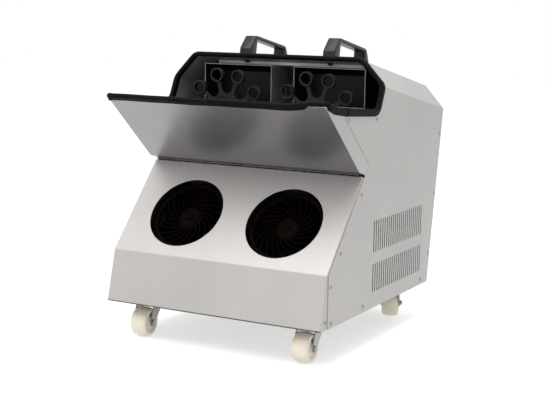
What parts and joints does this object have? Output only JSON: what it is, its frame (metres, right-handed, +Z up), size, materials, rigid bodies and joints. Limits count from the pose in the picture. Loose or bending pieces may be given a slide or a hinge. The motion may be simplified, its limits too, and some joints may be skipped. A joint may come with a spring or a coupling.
{
  "type": "bubble machine",
  "caption": "Wheeled sheet-metal bubble machine with front fans, air ducts, rotating bubble wheels, hinged front flap, fluid tray and roof handles.",
  "frame": {"origin": "middle of the overall box, on the floor under the casters", "axes": "+X to the machine's left-hand-to-right across the front, +Y from the front fans to the rear panel, +Z up"},
  "size_m": [0.4884, 0.6044, 0.6056],
  "materials": {
    "case_paint": "satin silver-grey paint over sheet steel",
    "flap_steel": "satin metallic, soft reflections",
    "rubber": "matt black edge trim",
    "bright_steel": "plain zinc-plated fasteners and hinge",
    "duct_sheet": "plain dull duct sheet",
    "tank_steel": "stainless tray",
    "drain_brass": "plain",
    "black_plastic": "fine-textured moulding",
    "dark_plastic": "smooth moulding",
    "shaft_steel": "ground shaft",
    "motor_paint": "black enamel",
    "zinc": "bright zinc plating",
    "nylon": "cream nylon, lightly scuffed"
  },
  "bodies": {
    "case": {"chassis": "case_paint", "cover": "case_paint", "rear_panel": "case_paint", "bulkhead": "case_paint", "mouth_trim": "rubber", "side_screws": "bright_steel", "handle_bolts": "bright_steel", "hinge_pin": "bright_steel", "caster_bolts": "bright_steel", "hinge_leaf_fixed": "bright_steel", "nozzle_brace": "duct_sheet", "air_duct_left": "duct_sheet", "air_duct_right": "duct_sheet", "fan_housing_left": "duct_sheet", "fan_housing_right": "duct_sheet", "fluid_tank": "tank_steel", "drain_pipe": "drain_brass", "power_inlet": "black_plastic", "fuse_holder": "black_plastic", "switch_frame": "black_plastic", "power_supply": "black_plastic", "handle_left": "black_plastic", "handle_right": "black_plastic", "fan_motor_left": "motor_paint", "fan_motor_right": "motor_paint", "gearmotor_left": "motor_paint", "gearmotor_right": "motor_paint", "caster_plate_front_left": "zinc", "caster_plate_rear_left": "zinc", "caster_plate_front_right": "zinc", "caster_plate_rear_right": "zinc"},
    "flap": {"flap": "flap_steel", "flap_trim": "rubber", "hinge_leaf_moving": "bright_steel"},
    "rocker": {"switch_rocker": "black_plastic"},
    "bubble_wheel_left": {"bubble_wheel_left": "dark_plastic", "wheel_shaft_left": "shaft_steel"},
    "impeller_left": {"impeller_left": "dark_plastic", "fan_shaft_left": "shaft_steel"},
    "bubble_wheel_right": {"bubble_wheel_right": "dark_plastic", "wheel_shaft_right": "shaft_steel"},
    "impeller_right": {"impeller_right": "dark_plastic", "fan_shaft_right": "shaft_steel"},
    "caster_swivel_front_left": {"caster_fork_front_left": "zinc", "caster_axle_front_left": "zinc"},
    "caster_wheel_front_left": {"caster_wheel_front_left": "nylon"},
    "caster_swivel_rear_left": {"caster_fork_rear_left": "zinc", "caster_axle_rear_left": "zinc"},
    "caster_wheel_rear_left": {"caster_wheel_rear_left": "nylon"},
    "caster_swivel_front_right": {"caster_fork_front_right": "zinc", "caster_axle_front_right": "zinc"},
    "caster_wheel_front_right": {"caster_wheel_front_right": "nylon"},
    "caster_swivel_rear_right": {"caster_fork_rear_right": "zinc", "caster_axle_rear_right": "zinc"},
    "caster_wheel_rear_right": {"caster_wheel_rear_right": "nylon"}
  },
  "joints": [
    {"name": "flap_hinge", "type": "hinge", "parent": "case", "child": "flap", "pos_m": [0, -0.12193, 0.34917], "axis": [1, 0, 0], "range_deg": [0, 62]},
    {"name": "rocker_tilt", "type": "hinge", "parent": "case", "child": "rocker", "pos_m": [0.15, 0.24651, 0.20033], "axis": [1, 0, 0], "range_deg": [0, 14]},
    {"name": "bubble_wheel_left_spin", "type": "hinge", "parent": "case", "child": "bubble_wheel_left", "pos_m": [-0.104, -0.06655, 0.447], "axis": [0, 1, 0], "continuous": true},
    {"name": "impeller_left_spin", "type": "hinge", "parent": "case", "child": "impeller_left", "pos_m": [-0.111, -0.20455, 0.255], "axis": [0, -0.7493, 0.6622], "continuous": true},
    {"name": "bubble_wheel_right_spin", "type": "hinge", "parent": "case", "child": "bubble_wheel_right", "pos_m": [0.104, -0.06655, 0.447], "axis": [0, 1, 0], "continuous": true},
    {"name": "impeller_right_spin", "type": "hinge", "parent": "case", "child": "impeller_right", "pos_m": [0.111, -0.20455, 0.255], "axis": [0, -0.7493, 0.6622], "continuous": true},
    {"name": "caster_swivel_front_left", "type": "hinge", "parent": "case", "child": "caster_swivel_front_left", "pos_m": [-0.184, -0.22755, 0.063], "axis": [0, 0, 1], "continuous": true},
    {"name": "caster_roll_front_left", "type": "hinge", "parent": "caster_swivel_front_left", "child": "caster_wheel_front_left", "pos_m": [-0.18208, -0.24946, 0.03], "axis": [0.9962, 0.0872, 0], "continuous": true},
    {"name": "caster_swivel_rear_left", "type": "hinge", "parent": "case", "child": "caster_swivel_rear_left", "pos_m": [-0.184, 0.15845, 0.063], "axis": [0, 0, 1], "continuous": true},
    {"name": "caster_roll_rear_left", "type": "hinge", "parent": "caster_swivel_rear_left", "child": "caster_wheel_rear_left", "pos_m": [-0.18018, 0.18012, 0.03], "axis": [-0.9848, 0.1736, 0], "continuous": true},
    {"name": "caster_swivel_front_right", "type": "hinge", "parent": "case", "child": "caster_swivel_front_right", "pos_m": [0.184, -0.22755, 0.063], "axis": [0, 0, 1], "continuous": true},
    {"name": "caster_roll_front_right", "type": "hinge", "parent": "caster_swivel_front_right", "child": "caster_wheel_front_right", "pos_m": [0.18477, -0.24953, 0.03], "axis": [0.9994, 0.0349, 0], "continuous": true},
    {"name": "caster_swivel_rear_right", "type": "hinge", "parent": "case", "child": "caster_swivel_rear_right", "pos_m": [0.184, 0.15845, 0.063], "axis": [0, 0, 1], "continuous": true},
    {"name": "caster_roll_rear_right", "type": "hinge", "parent": "caster_swivel_rear_right", "child": "caster_wheel_rear_right", "pos_m": [0.1772, 0.17938, 0.03], "axis": [-0.9511, -0.309, 0], "continuous": true}
  ]
}
